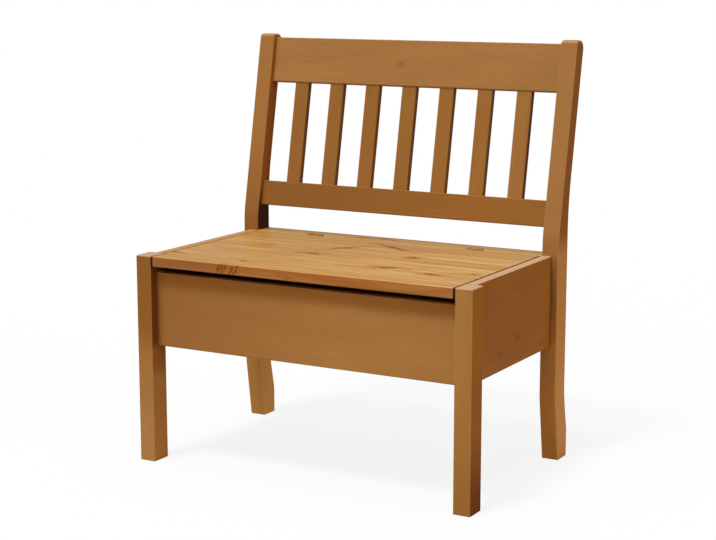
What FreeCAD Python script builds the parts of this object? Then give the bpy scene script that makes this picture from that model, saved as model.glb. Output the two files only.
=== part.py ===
import FreeCAD, Part
import os
import re
import Sketcher

# A small pine storage bench with a lift-up lid and a raked, slatted back.
# X runs to the right as one faces the bench, Y from front to back, Z up.
# The origin is on the floor, below the middle of the overall box.

# Driving sizes, in millimetres and degrees
SIZES = {
    # The whole bench and its timber
    "bench_width": 800.0,
    "seat_height": 455.0,
    "stock_thickness": 38.0,
    "board_thickness": 22.0,
    "arris_radius": 2.5,
    "arris_chamfer_share": 0.7,
    # Front legs
    "front_leg_depth": 50.0,
    # Back posts, sawn from wide stock
    "post_setback": 422.0,
    "post_depth": 51.0,
    "post_top_depth": 38.0,
    "rake_angle": 11.0,
    "rake_start_rise": 38.0,
    "front_bend_radius": 150.0,
    "rear_bend_radius": 600.0,
    "foot_front_height": 142.0,
    "foot_front_splay": 21.0,
    "foot_rear_height": 140.0,
    "heel_height": 60.0,
    "heel_splay": 17.0,
    "foot_bend_radius": 240.0,
    "heel_radius": 60.0,
    "crown_rise": 8.0,
    "crown_front_radius": 10.0,
    "crown_rear_radius": 18.0,
    "crown_corner_radius": 6.0,
    # The box between the legs
    "box_bottom_height": 256.0,
    "front_panel_recess": 21.0,
    "finger_gap": 16.0,
    "strip_size": 22.0,
    "bottom_board_thickness": 9.0,
    "bottom_board_gap": 0.5,
    # Tongues on the ends of the boards, glued into grooves and mortises
    "tongue_length": 10.0,
    "tongue_thickness": 8.0,
    "tongue_shoulder": 8.0,
    "hinge_rail_tongue_setback": 18.0,
    "hinge_rail_tongue_width": 26.0,
    "mortise_gap": 0.1,
    "mortise_end_gap": 1.0,
    # The lid and the battens under it
    "lid_side_gap": 4.5,
    "lid_back_gap": 2.0,
    "lid_batten_width": 45.0,
    "lid_batten_thickness": 15.0,
    "lid_batten_inset": 15.0,
    "lid_batten_side_margin": 132.0,
    "lid_batten_chamfer": 10.0,
    # Countersunk wood screws in the strips and battens
    "screw_head_radius": 4.0,
    "screw_head_depth": 2.4,
    "screw_shank_radius": 2.0,
    "screw_gap": 0.05,
    "strip_screw_length": 35.0,
    "batten_screw_length": 28.0,
    "screw_end_margin": 45.0,
    # Butt hinges on the joint between lid and hinge rail
    "hinge_side_margin": 159.0,
    "hinge_length": 40.0,
    "hinge_axis_rise": 1.0,
    "hinge_barrel_radius": 3.0,
    "hinge_pin_radius": 1.4,
    "hinge_pin_clearance": 0.05,
    "hinge_leaf_drop": 15.0,
    "hinge_leaf_thickness": 1.5,
    "hinge_leaf_gap": 0.5,
    "hinge_knuckle_gap": 0.2,
    "hinge_recess_gap": 0.1,
    "hinge_notch_gap": 0.5,
    "hinge_screw_drop": 9.0,
    "hinge_screw_spacing": 13.0,
    "hinge_screw_length": 16.0,
    "hinge_screw_radius": 1.5,
    "hinge_screw_head_radius": 2.7,
    "hinge_screw_head_depth": 1.3,
    # Rails of the back, tenoned into the posts
    "rail_recess": 11.0,
    "rail_thickness": 22.0,
    "lower_rail_rise": 24.0,
    "lower_rail_width": 57.0,
    "crest_rail_width": 104.0,
    "rail_tenon_length": 25.0,
    "rail_tenon_thickness": 10.0,
    "rail_tenon_shoulder": 8.0,
    # Slats of the back, tenoned into the rails
    "slat_length": 233.5,
    "slat_side_margin": 62.0,
    "slat_width": 36.0,
    "slat_thickness": 16.0,
    "slat_tenon_length": 14.0,
    "slat_tenon_thickness": 8.0,
    "slat_tenon_shoulder": 4.0,
}

# How many of each repeated thing
COUNTS = {
    "slat_count": 7,
    "strip_screw_count": 3,
    "hinge_screw_count": 3,
    "hinge_knuckle_count": 5,
    "hinge_side_count": 16,
    "screw_side_count": 8,
}

# Places that several pieces share, as formulas of the sizes above
INNER = "(bench_width - 2 * stock_thickness)"
HALF_INNER = "(bench_width / 2 - stock_thickness)"
LID_UNDERSIDE = "(seat_height - board_thickness)"
BOX_FRONT = "(front_panel_recess + board_thickness)"
BOX_LENGTH = f"(post_setback - {BOX_FRONT})"
FRONT_PANEL_HEIGHT = f"({LID_UNDERSIDE} - finger_gap - box_bottom_height)"
SIDE_PANEL_LENGTH = "(post_setback - front_leg_depth)"
RAKE_START = "(seat_height + rake_start_rise)"
SLAT_FOOT = "(lower_rail_rise + lower_rail_width)"
CREST_RISE = f"({SLAT_FOOT} + slat_length)"
CREST_TOP = f"(({CREST_RISE} + crest_rail_width) * cos(rake_angle) - rail_recess * sin(rake_angle))"
RAKE_HEIGHT = f"({CREST_TOP} + crown_rise)"
OVERALL_HEIGHT = f"({RAKE_START} + {RAKE_HEIGHT})"
RAKE_RUN = f"(tan(rake_angle) * {RAKE_HEIGHT})"
CROWN_LOSS = "(crown_rear_radius * ((1 + sin(rake_angle)) / cos(rake_angle) - 1))"
OVERALL_DEPTH = f"(post_setback + {RAKE_RUN} + post_top_depth - {CROWN_LOSS})"
FRONT = f"(-{OVERALL_DEPTH} / 2)"
PIN_SETBACK = "(post_setback - lid_back_gap / 2)"
PIN_HEIGHT = "(seat_height + hinge_axis_rise)"
HINGE_OFFSET = f"({HALF_INNER} - hinge_side_margin)"
KNUCKLE_PITCH = "(hinge_length / hinge_knuckle_count)"
LID_BATTEN_OFFSET = f"({HALF_INNER} - lid_batten_side_margin)"
SLAT_PITCH = f"(({INNER} - 2 * slat_side_margin - slat_width) / (slat_count - 1))"
ARRIS_CHAMFER = "arris_radius * arris_chamfer_share"

doc = FreeCAD.newDocument("storage_bench")
sheet = doc.addObject("Spreadsheet::Sheet", "Sizes")
for row, (name, size) in enumerate({**SIZES, **COUNTS}.items(), start=1):
    sheet.set(f"A{row}", name)
    sheet.set(f"B{row}", str(size))
    sheet.setAlias(f"B{row}", name)
doc.recompute()

# The finished pieces, one for each file
pieces = []

# How far an edge may stray from a place and still count as lying there
EDGE_TOLERANCE_SHARE = 0.001


def bound(formula):
    """The formula with each size written as a cell of the sheet"""
    def cell(word):
        known = word[0] in SIZES or word[0] in COUNTS
        return f"Sizes.{word[0]}" if known else word[0]
    return re.sub(r"[a-z]+(?:_[a-z]+)+", cell, formula)


def value(formula):
    """What the formula comes to with the sizes in the sheet"""
    result = sheet.evalExpression(bound(formula))
    return float(getattr(result, "Value", result))


def new_body(label, x="0", y="0", z="0"):
    """A body whose own origin stands at x, y, z behind the front of the legs"""
    body = doc.addObject("PartDesign::Body", label)
    body.setExpression("Placement.Base.x", bound(x))
    body.setExpression("Placement.Base.y", bound(f"{FRONT} + {y}"))
    body.setExpression("Placement.Base.z", bound(z))
    return body


def raked_body(label, x, away, along):
    """A body leaning with the back: away is square to its front, along goes up it"""
    y = f"post_setback + ({along}) * sin(rake_angle) + ({away}) * cos(rake_angle)"
    z = f"{RAKE_START} + ({along}) * cos(rake_angle) - ({away}) * sin(rake_angle)"
    body = new_body(label, x, y, z)
    lean = FreeCAD.Rotation(FreeCAD.Vector(-1, 0, 0), value("rake_angle"))
    body.Placement = FreeCAD.Placement(FreeCAD.Vector(), lean)
    body.setExpression("Placement.Rotation.Angle", bound("rake_angle"))
    return body


def origin_item(body, role):
    """One of the body's own origin planes or axes"""
    return next(item for item in body.Origin.OriginFeatures if item.Role == role)


def new_sketch(body, plane, lift="0"):
    """An empty sketch on one of the body's origin planes, or lifted off it"""
    sketch = body.newObject("Sketcher::SketchObject", body.Name + "_sketch")
    sketch.AttachmentSupport = [(origin_item(body, plane), "")]
    sketch.MapMode = "FlatFace"
    sketch.setExpression("AttachmentOffset.Base.z", bound(lift))
    return sketch


def pin_point(sketch, line, end, across, up):
    """Hold one point of the sketch at its two driven distances from the origin"""
    for kind, axis, formula in (("DistanceX", -2, across), ("DistanceY", -1, up)):
        size = value(formula)
        if formula == "0":
            sketch.addConstraint(Sketcher.Constraint("PointOnObject", line, end, axis))
        elif size < 0:
            index = sketch.addConstraint(Sketcher.Constraint(kind, line, end, -1, 1, -size))
            sketch.setExpression(f"Constraints[{index}]", bound(f"-({formula})"))
        else:
            index = sketch.addConstraint(Sketcher.Constraint(kind, -1, 1, line, end, size))
            sketch.setExpression(f"Constraints[{index}]", bound(formula))


def draw_outline(sketch, points):
    """A closed outline of straight lines through points given as formulas"""
    corners = [FreeCAD.Vector(value(across), value(up), 0) for across, up in points]
    first = sketch.GeometryCount
    count = len(corners)
    for turn in range(count):
        sketch.addGeometry(Part.LineSegment(corners[turn], corners[(turn + 1) % count]))
    for turn in range(count):
        line = first + turn
        after = first + (turn + 1) % count
        sketch.addConstraint(Sketcher.Constraint("Coincident", line, 2, after, 1))
        pin_point(sketch, line, 1, *points[turn])


def draw_box(sketch, left, low, wide, high):
    """A rectangle from its lower left corner, its width and its height"""
    right = f"{left} + {wide}"
    top = f"{low} + {high}"
    draw_outline(sketch, [(left, low), (right, low), (right, top), (left, top)])


def draw_round(sketch, radius, sides):
    """A small round about the sketch's origin, simplified to a count of flat sides"""
    turns = [f"({side} + 1 / 2) * 360 / {sides}" for side in range(int(value(sides)))]
    draw_outline(sketch, [(f"{radius} * cos({turn})", f"{radius} * sin({turn})")
                          for turn in turns])


def draw_circle(sketch, radius):
    """A true circle about the sketch's origin"""
    circle = sketch.addGeometry(
        Part.Circle(FreeCAD.Vector(), FreeCAD.Vector(0, 0, 1), value(radius)))
    sketch.addConstraint(Sketcher.Constraint("Coincident", circle, 3, -1, 1))
    index = sketch.addConstraint(Sketcher.Constraint("Radius", circle, value(radius)))
    sketch.setExpression(f"Constraints[{index}]", bound(radius))


def pad(body, sketch, length, both_ways=False):
    """Thicken the sketch by a length, one way or half each way"""
    feature = body.newObject("PartDesign::Pad", body.Name + "_pad")
    feature.Profile = sketch
    feature.Midplane = both_ways
    feature.setExpression("Length", bound(length))
    return feature


def pocket(body, sketch, depth, both_ways=False, reversed_way=False):
    """Cut the sketch to a depth, and make sure that the cut took wood away"""
    doc.recompute()
    before = body.Shape.Volume
    feature = body.newObject("PartDesign::Pocket", body.Name + "_pocket")
    feature.Profile = sketch
    feature.Midplane = both_ways
    feature.Reversed = reversed_way
    feature.setExpression("Length", bound(depth))
    doc.recompute()
    if body.Shape.Volume >= before:
        raise RuntimeError(f"{body.Label}: a pocket cuts nothing")
    return feature


def repeat(body, rows, mirror=None, whole=False):
    """Repeat the last feature, or the whole body, in rows along its axes, and mirror it"""
    doc.recompute()
    original = body.Tip
    grid = body.newObject("PartDesign::MultiTransform", body.Name + "_grid")
    if whole:
        grid.TransformMode = "Whole shape"
    else:
        grid.Originals = [original]
    steps = []
    for role, spacing, count in rows:
        step = body.newObject("PartDesign::LinearPattern", body.Name + "_row")
        step.Direction = (origin_item(body, role), [""])
        step.setExpression("Length", bound(f"({spacing}) * ({count} - 1)"))
        step.setExpression("Occurrences", bound(count))
        steps.append(step)
    if mirror:
        step = body.newObject("PartDesign::Mirrored", body.Name + "_mirror")
        step.MirrorPlane = (origin_item(body, mirror), [""])
        steps.append(step)
    grid.Transformations = steps
    body.Tip = grid
    return grid


def ease(body, size, wanted, flat=False):
    """Round the edges that the test picks, or take them off with a flat chamfer"""
    doc.recompute()
    base = body.Tip
    edges = base.Shape.Edges
    names = [f"Edge{index}" for index, edge in enumerate(edges, start=1) if wanted(edge)]
    kind, sized = ("Chamfer", "Size") if flat else ("Fillet", "Radius")
    feature = body.newObject(f"PartDesign::{kind}", body.Name + "_eased")
    feature.Base = (base, names)
    feature.setExpression(sized, bound(size))
    return feature


def runs_along(edge, axis):
    """True for a straight edge that runs along the axis, 0 to 2 for X to Z"""
    direction = edge.lastVertex().Point - edge.firstVertex().Point
    return abs(abs(direction[axis]) - edge.Length) < edge.Length * EDGE_TOLERANCE_SHARE


def lies_at(edge, axis, place):
    """True for an edge that stays at one place along the axis"""
    low = edge.BoundBox.getPoint(0)[axis]
    high = edge.BoundBox.getPoint(6)[axis]
    slack = value("stock_thickness") * EDGE_TOLERANCE_SHARE
    return abs(low - place) < slack and abs(high - place) < slack


def finish(label, blank, tools=()):
    """Keep the piece under its own name, drilled and recessed by the tools"""
    if not tools:
        blank.Label = label
        pieces.append(blank)
        return blank
    blank.Label = label + "_blank"
    tool = tools[0]
    if len(tools) > 1:
        tool = doc.addObject("Part::Compound", label + "_tools")
        tool.Links = list(tools)
    piece = doc.addObject("Part::Cut", label)
    piece.Base = blank
    piece.Tool = tool
    piece.Label = label
    pieces.append(piece)
    return piece


def finish_pair(name, right, tools=()):
    """Keep a right-hand piece and its mirror image on the left"""
    piece = finish(name + "_right", right, tools)
    left = mirror_image(name + "_left", piece)
    pieces.append(left)


def mirror_image(label, source, normal=(1, 0, 0), y="0"):
    """The source mirrored, across the middle of the bench unless told otherwise"""
    image = doc.addObject("Part::Mirroring", label)
    image.Source = source
    image.Normal = FreeCAD.Vector(*normal)
    image.setExpression("Base.y", bound(y))
    image.Label = label
    return image


def square_stock(label, corner, sides):
    """A sawn and planed length of timber from its low corner and its three sides"""
    body = new_body(label, *corner)
    sketch = new_sketch(body, "XY_Plane")
    draw_box(sketch, "0", "0", sides[0], sides[1])
    pad(body, sketch, sides[2])
    return body


def tongued_board(label, corner, sides, tongue_corner, tongue_sides, plane="YZ_Plane",
                  eased=None):
    """A board with a tongue on each end, and the room that the tongues are glued into"""
    board = square_stock(label + "_blank", corner, sides)
    groove = new_body(label + "_groove", *corner)
    if eased:
        ease(board, "arris_radius", eased)
    length = sides[0] if plane == "YZ_Plane" else sides[1]
    middle = f"{length} / 2" if plane == "YZ_Plane" else f"-{length} / 2"
    near, low = tongue_corner
    thick, high = tongue_sides
    for body, gap, end_gap in ((board, "0", "0"), (groove, "mortise_gap", "mortise_end_gap")):
        section = new_sketch(body, plane, lift=middle)
        draw_box(section, f"{near} - {gap}", f"{low} - {gap}", f"{thick} + 2 * {gap}",
                 f"{high} + 2 * {gap}")
        pad(body, section, f"{length} + 2 * (tongue_length + {end_gap})", both_ways=True)
    return board, groove


def screw_group(label, place, axis, start, sizes, rows, mirror=None):
    """Countersunk screws that run along an axis, in rows from one screw, and their holes"""
    head, head_depth, shank, length = sizes
    plane, backwards = (("YZ_Plane", False), ("XZ_Plane", True), ("XY_Plane", False))[axis]
    lift = f"-({start})" if backwards else start
    made = []
    for suffix, gap in (("", "0"), ("_drill", "screw_gap")):
        body = new_body(label + suffix, *place)
        for radius, depth in ((head, head_depth), (shank, f"{length} + {gap}")):
            section = new_sketch(body, plane, lift=lift)
            draw_round(section, f"({radius} + {gap})", "screw_side_count")
            pad(body, section, depth).Reversed = backwards
            if radius == head:
                under = value(f"{start} + {head_depth}")
                ease(body, f"({head} - {shank}) * cos(180 / screw_side_count)",
                     lambda edge: lies_at(edge, axis, under), flat=True)
        repeat(body, rows, mirror, whole=True)
        made.append(body)
    pieces.append(made[0])
    return made[1]


# Screws through the strips inside the box, the lid battens and the hinge leaves
wood_screw = ["screw_head_radius", "screw_head_depth", "screw_shank_radius"]
strip_drill = screw_group(
    "strip_screws",
    ("0", f"{BOX_FRONT} + screw_end_margin", "box_bottom_height + strip_size / 2"),
    0, f"{HALF_INNER} - strip_size", [*wood_screw, "strip_screw_length"],
    [("Y_Axis", f"({BOX_LENGTH} - 2 * screw_end_margin) / (strip_screw_count - 1)",
      "strip_screw_count"),
     ("Z_Axis", f"{LID_UNDERSIDE} - strip_size - box_bottom_height", "2")],
    mirror="YZ_Plane")
batten_drill = screw_group(
    "batten_screws",
    (f"-{LID_BATTEN_OFFSET}", f"{BOX_FRONT} + lid_batten_inset + screw_end_margin",
     f"{LID_UNDERSIDE} - lid_batten_thickness"),
    2, "0", [*wood_screw, "batten_screw_length"],
    [("Y_Axis", f"({BOX_LENGTH} - 2 * lid_batten_inset - 2 * screw_end_margin)"
      " / (strip_screw_count - 1)", "strip_screw_count"),
     ("X_Axis", f"2 * {LID_BATTEN_OFFSET}", "2")])
rail_hinge_drill = screw_group(
    "hinge_rail_screws",
    (f"-{HINGE_OFFSET} - (hinge_screw_count - 1) / 2 * hinge_screw_spacing",
     f"{PIN_SETBACK} + hinge_leaf_gap / 2",
     f"{PIN_HEIGHT} - hinge_screw_drop"),
    1, "0", ["hinge_screw_head_radius", "hinge_screw_head_depth", "hinge_screw_radius",
             "hinge_screw_length"],
    [("X_Axis", "hinge_screw_spacing", "hinge_screw_count"),
     ("X_Axis", f"2 * {HINGE_OFFSET}", "2")])
hinge_plane = f"{FRONT} + {PIN_SETBACK}"
pieces.append(mirror_image("hinge_lid_screws", doc.getObject("hinge_rail_screws"),
                           (0, 1, 0), hinge_plane))
lid_hinge_drill = mirror_image("hinge_lid_drill", rail_hinge_drill, (0, 1, 0), hinge_plane)

# The housing for both hinges: a slot for the two leaves and a notch for the barrel
hinge_housing = new_body("hinge_housing", f"-{HINGE_OFFSET}", PIN_SETBACK, PIN_HEIGHT)
slot_half = "(hinge_leaf_gap / 2 + hinge_leaf_thickness + hinge_recess_gap)"
slot_low = "-(hinge_leaf_drop + hinge_recess_gap)"
notch_half = "(hinge_barrel_radius + hinge_notch_gap)"
housing_sketch = new_sketch(hinge_housing, "YZ_Plane")
draw_outline(housing_sketch, [
    (slot_half, slot_low), (slot_half, f"-{notch_half}"), (notch_half, f"-{notch_half}"),
    (notch_half, notch_half), (f"-{notch_half}", notch_half),
    (f"-{notch_half}", f"-{notch_half}"), (f"-{slot_half}", f"-{notch_half}"),
    (f"-{slot_half}", slot_low)])
pad(hinge_housing, housing_sketch, "hinge_length + 2 * hinge_recess_gap", both_ways=True)
repeat(hinge_housing, [("X_Axis", f"2 * {HINGE_OFFSET}", "2")])

# Boards of the box, tongued at both ends: the back panel's tongues lie at its rear
# face, so that they pass behind those of the sides inside the posts
board_middle = "(board_thickness - tongue_thickness) / 2"
front, front_groove = tongued_board(
    "front_panel", (f"-{HALF_INNER}", "front_panel_recess", "box_bottom_height"),
    (INNER, "board_thickness", FRONT_PANEL_HEIGHT), (board_middle, "tongue_shoulder"),
    ("tongue_thickness", f"{FRONT_PANEL_HEIGHT} - 2 * tongue_shoulder"),
    eased=lambda edge: runs_along(edge, 0))
finish("front_panel", front)
back_height = f"({LID_UNDERSIDE} - box_bottom_height)"
back, back_groove = tongued_board(
    "back_panel", (f"-{HALF_INNER}", "post_setback", "box_bottom_height"),
    (INNER, "board_thickness", back_height),
    ("board_thickness - tongue_thickness", "tongue_shoulder"),
    ("tongue_thickness", f"{back_height} - 2 * tongue_shoulder"))
finish("back_panel", back)
side_height = "(seat_height - box_bottom_height)"
side, side_groove = tongued_board(
    "side_panel", (HALF_INNER, "front_leg_depth", "box_bottom_height"),
    ("board_thickness", SIDE_PANEL_LENGTH, side_height), (board_middle, "tongue_shoulder"),
    ("tongue_thickness", f"{side_height} - 2 * tongue_shoulder"), plane="XZ_Plane",
    eased=lambda edge: runs_along(edge, 1))
finish_pair("side_panel", side, [strip_drill])

# The fixed rail behind the lid, flush with the seat, which carries the hinges
rail_top = value("board_thickness")
rail, rail_groove = tongued_board(
    "hinge_rail", (f"-{HALF_INNER}", "post_setback", LID_UNDERSIDE),
    (INNER, "post_depth", "board_thickness"), ("hinge_rail_tongue_setback", board_middle),
    ("hinge_rail_tongue_width", "tongue_thickness"),
    eased=lambda edge: runs_along(edge, 0) and lies_at(edge, 2, rail_top))
finish("hinge_rail", rail, [rail_hinge_drill, hinge_housing])

# Front legs: plain square stock with eased edges and chamfered tops
leg = square_stock("front_leg_right_blank", (HALF_INNER, "0", "0"),
                   ("stock_thickness", "front_leg_depth", "seat_height"))
leg_top = value("seat_height")
ease(leg, "arris_radius", lambda edge: runs_along(edge, 2))
ease(leg, ARRIS_CHAMFER, lambda edge: lies_at(edge, 2, leg_top), flat=True)
finish_pair("front_leg", leg, [front_groove, side_groove])

# Back posts: sawn to a splayed foot, an upright middle and a raked top
post = new_body("back_post_right_sawn", HALF_INNER, "post_setback", "0")
post_sketch = new_sketch(post, "YZ_Plane")
rear_bend_height = f"{RAKE_START} + (post_depth - post_top_depth) / tan(rake_angle)"
draw_outline(post_sketch, [
    ("foot_front_splay", "0"), ("post_depth + heel_splay", "0"),
    ("post_depth + heel_splay", "heel_height"), ("post_depth", "foot_rear_height"),
    ("post_depth", rear_bend_height), (f"{RAKE_RUN} + post_top_depth", OVERALL_HEIGHT),
    (RAKE_RUN, OVERALL_HEIGHT), ("0", RAKE_START), ("0", "foot_front_height")])
pad(post, post_sketch, "stock_thickness")


def corner_at(across, up):
    """A test for the edge across the post at one corner of its outline"""
    place = FreeCAD.Vector(0, value(across), value(up))
    reach = value("stock_thickness") * EDGE_TOLERANCE_SHARE

    def found(edge):
        middle = edge.CenterOfMass
        return runs_along(edge, 0) and (middle - place).cross(FreeCAD.Vector(1, 0, 0)).Length < reach
    return found


for radius, across, up in (
        ("heel_radius", "post_depth + heel_splay", "heel_height"),
        ("foot_bend_radius", "post_depth", "foot_rear_height"),
        ("foot_bend_radius", "0", "foot_front_height"),
        ("rear_bend_radius", "post_depth", rear_bend_height),
        ("front_bend_radius", "0", RAKE_START),
        ("crown_rear_radius", f"{RAKE_RUN} + post_top_depth", OVERALL_HEIGHT),
        ("crown_front_radius", RAKE_RUN, OVERALL_HEIGHT)):
    ease(post, radius, corner_at(across, up))
cheeks = (0, value("stock_thickness"))
ease(post, ARRIS_CHAMFER, lambda edge: any(lies_at(edge, 0, cheek) for cheek in cheeks)
     and not lies_at(edge, 2, 0), flat=True)
mortise_sketch = new_sketch(post, "YZ_Plane")
lean = FreeCAD.Rotation(FreeCAD.Vector(0, 0, -1), value("rake_angle"))
mortise_sketch.AttachmentOffset = FreeCAD.Placement(FreeCAD.Vector(), lean)
mortise_sketch.setExpression("AttachmentOffset.Base.y", bound(RAKE_START))
mortise_sketch.setExpression("AttachmentOffset.Rotation.Angle", bound("rake_angle"))
tenon_front = "rail_recess + (rail_thickness - rail_tenon_thickness) / 2"
for rise, width in (("lower_rail_rise", "lower_rail_width"),
                    (CREST_RISE, "crest_rail_width")):
    draw_box(mortise_sketch, f"{tenon_front} - mortise_gap",
             f"{rise} + rail_tenon_shoulder - mortise_gap",
             "rail_tenon_thickness + 2 * mortise_gap",
             f"{width} - 2 * rail_tenon_shoulder + 2 * mortise_gap")
pocket(post, mortise_sketch, "rail_tenon_length + mortise_end_gap", reversed_way=True)

# Seen from the front, the crown's corners are rounded off too
crown_shape = square_stock("crown_shape", (HALF_INNER, "0", "0"),
                           ("stock_thickness", OVERALL_DEPTH, OVERALL_HEIGHT))
crown_top = value(OVERALL_HEIGHT)
ease(crown_shape, "crown_corner_radius",
     lambda edge: runs_along(edge, 1) and lies_at(edge, 2, crown_top))
rounded_post = doc.addObject("Part::Common", "back_post_right_rounded")
rounded_post.Base = post
rounded_post.Tool = crown_shape
finish_pair("back_post", rounded_post, [back_groove, side_groove, rail_groove])

# Strips inside the box: the lid lies on the upper pair, the bottom on the lower four
strip_x = f"{HALF_INNER} - strip_size"
for name, height in (("lid_rest", f"{LID_UNDERSIDE} - strip_size"),
                     ("bottom_cleat", "box_bottom_height")):
    strip = square_stock(f"{name}_right_blank", (strip_x, BOX_FRONT, height),
                         ("strip_size", BOX_LENGTH, "strip_size"))
    finish_pair(name, strip, [strip_drill])
for name, setback in (("bottom_cleat_front", BOX_FRONT),
                      ("bottom_cleat_back", "post_setback - strip_size")):
    strip = square_stock(name, (f"-({strip_x})", setback, "box_bottom_height"),
                         (f"2 * ({strip_x})", "strip_size", "strip_size"))
    finish(name, strip)

# The plywood bottom lies loose on its four strips
bottom = square_stock(
    "bottom_board", (f"bottom_board_gap - {HALF_INNER}", f"{BOX_FRONT} + bottom_board_gap",
                     "box_bottom_height + strip_size"),
    (f"{INNER} - 2 * bottom_board_gap", f"{BOX_LENGTH} - 2 * bottom_board_gap",
     "bottom_board_thickness"))
finish("bottom_board", bottom)

# The lid, flush with the tops of the legs, and the two battens that keep it flat
lid = square_stock("lid_board_blank", (f"lid_side_gap - {HALF_INNER}", "0", LID_UNDERSIDE),
                   (f"{INNER} - 2 * lid_side_gap", "post_setback - lid_back_gap",
                    "board_thickness"))
lid_top = value("board_thickness")
ease(lid, "arris_radius", lambda edge: lies_at(edge, 2, lid_top) or runs_along(edge, 2)
     or (runs_along(edge, 0) and lies_at(edge, 1, 0)))
finish("lid_board", lid, [lid_hinge_drill, hinge_housing, batten_drill])


def lid_batten(name, middle):
    """A batten across the underside of the lid, with its lower ends bevelled off"""
    body = new_body(name + "_blank", middle, f"{BOX_FRONT} + lid_batten_inset",
                    f"{LID_UNDERSIDE} - lid_batten_thickness")
    length = f"({BOX_LENGTH} - 2 * lid_batten_inset)"
    sketch = new_sketch(body, "YZ_Plane")
    draw_outline(sketch, [
        ("lid_batten_chamfer", "0"), (f"{length} - lid_batten_chamfer", "0"),
        (length, "lid_batten_chamfer"), (length, "lid_batten_thickness"),
        ("0", "lid_batten_thickness"), ("0", "lid_batten_chamfer")])
    pad(body, sketch, "lid_batten_width", both_ways=True)
    finish(name, body, [batten_drill])


lid_batten("lid_batten_left", f"-{LID_BATTEN_OFFSET}")
lid_batten("lid_batten_right", LID_BATTEN_OFFSET)


def hinge_leaf(name, middle, side, first, kept_out, tools):
    """A hinge leaf: barrel and plate, bored for the pin, with gaps for the other's knuckles"""
    body = new_body(name + "_blank", middle, PIN_SETBACK, PIN_HEIGHT)
    barrel = new_sketch(body, "YZ_Plane")
    draw_round(barrel, "hinge_barrel_radius", "hinge_side_count")
    pad(body, barrel, "hinge_length", both_ways=True)
    plate = new_sketch(body, "YZ_Plane")
    near = f"{side} * hinge_leaf_gap / 2"
    far = f"{side} * (hinge_leaf_gap / 2 + hinge_leaf_thickness)"
    draw_outline(plate, [(near, "0"), (near, "-hinge_leaf_drop"), (far, "-hinge_leaf_drop"),
                         (far, "0")])
    pad(body, plate, "hinge_length", both_ways=True)
    gaps = new_sketch(body, "XZ_Plane")
    clear = "(hinge_barrel_radius + hinge_knuckle_gap)"
    draw_box(gaps, f"{first} - hinge_knuckle_gap / 2", f"-{clear}",
             f"({KNUCKLE_PITCH} + hinge_knuckle_gap)", f"2 * {clear}")
    pocket(body, gaps, f"4 * {clear}", both_ways=True)
    repeat(body, [("X_Axis", f"2 * {KNUCKLE_PITCH}", kept_out)])
    bore = new_sketch(body, "YZ_Plane")
    draw_circle(bore, "hinge_pin_radius + hinge_pin_clearance")
    pocket(body, bore, "2 * hinge_length", both_ways=True)
    finish(name, body, tools)


# Two butt hinges: the rail's leaf has the end knuckles, the lid's leaf those between
for hand, middle in (("left", f"-{HINGE_OFFSET}"), ("right", HINGE_OFFSET)):
    hinge_leaf(f"hinge_rail_leaf_{hand}", middle, "1",
               f"(-hinge_length / 2 + {KNUCKLE_PITCH})", "(hinge_knuckle_count - 1) / 2",
               [rail_hinge_drill])
    hinge_leaf(f"hinge_lid_leaf_{hand}", middle, "-1",
               "(-hinge_length / 2)", "(hinge_knuckle_count + 1) / 2",
               [lid_hinge_drill])
    hinge_pin = new_body(f"hinge_pin_{hand}", middle, PIN_SETBACK, PIN_HEIGHT)
    pin_sketch = new_sketch(hinge_pin, "YZ_Plane")
    draw_circle(pin_sketch, "hinge_pin_radius")
    pad(hinge_pin, pin_sketch, "hinge_length", both_ways=True)
    finish(f"hinge_pin_{hand}", hinge_pin)


def back_rail(name, rise, width, slats_above):
    """A rail of the back: eased board, a tenon on each end and a mortise for each slat"""
    body = raked_body(name, "0", "rail_recess", rise)
    section = new_sketch(body, "YZ_Plane")
    draw_box(section, "0", "0", "rail_thickness", width)
    pad(body, section, INNER, both_ways=True)
    ease(body, "arris_radius", lambda edge: runs_along(edge, 0))
    tenon = new_sketch(body, "YZ_Plane")
    draw_box(tenon, "(rail_thickness - rail_tenon_thickness) / 2", "rail_tenon_shoulder",
             "rail_tenon_thickness", f"{width} - 2 * rail_tenon_shoulder")
    pad(body, tenon, f"{INNER} + 2 * rail_tenon_length", both_ways=True)
    mortise = new_sketch(body, "XY_Plane", lift=width if slats_above else "0")
    tenon_width = "(slat_width - 2 * slat_tenon_shoulder)"
    draw_box(mortise,
             f"-(slat_count - 1) / 2 * {SLAT_PITCH} - {tenon_width} / 2 - mortise_gap",
             "(rail_thickness - slat_tenon_thickness) / 2 - mortise_gap",
             f"{tenon_width} + 2 * mortise_gap", "slat_tenon_thickness + 2 * mortise_gap")
    pocket(body, mortise, "slat_tenon_length + mortise_end_gap",
           reversed_way=not slats_above)
    repeat(body, [("X_Axis", SLAT_PITCH, "slat_count")])
    finish(name, body)


back_rail("lower_rail", "lower_rail_rise", "lower_rail_width", slats_above=True)
back_rail("crest_rail", CREST_RISE, "crest_rail_width", slats_above=False)


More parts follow.
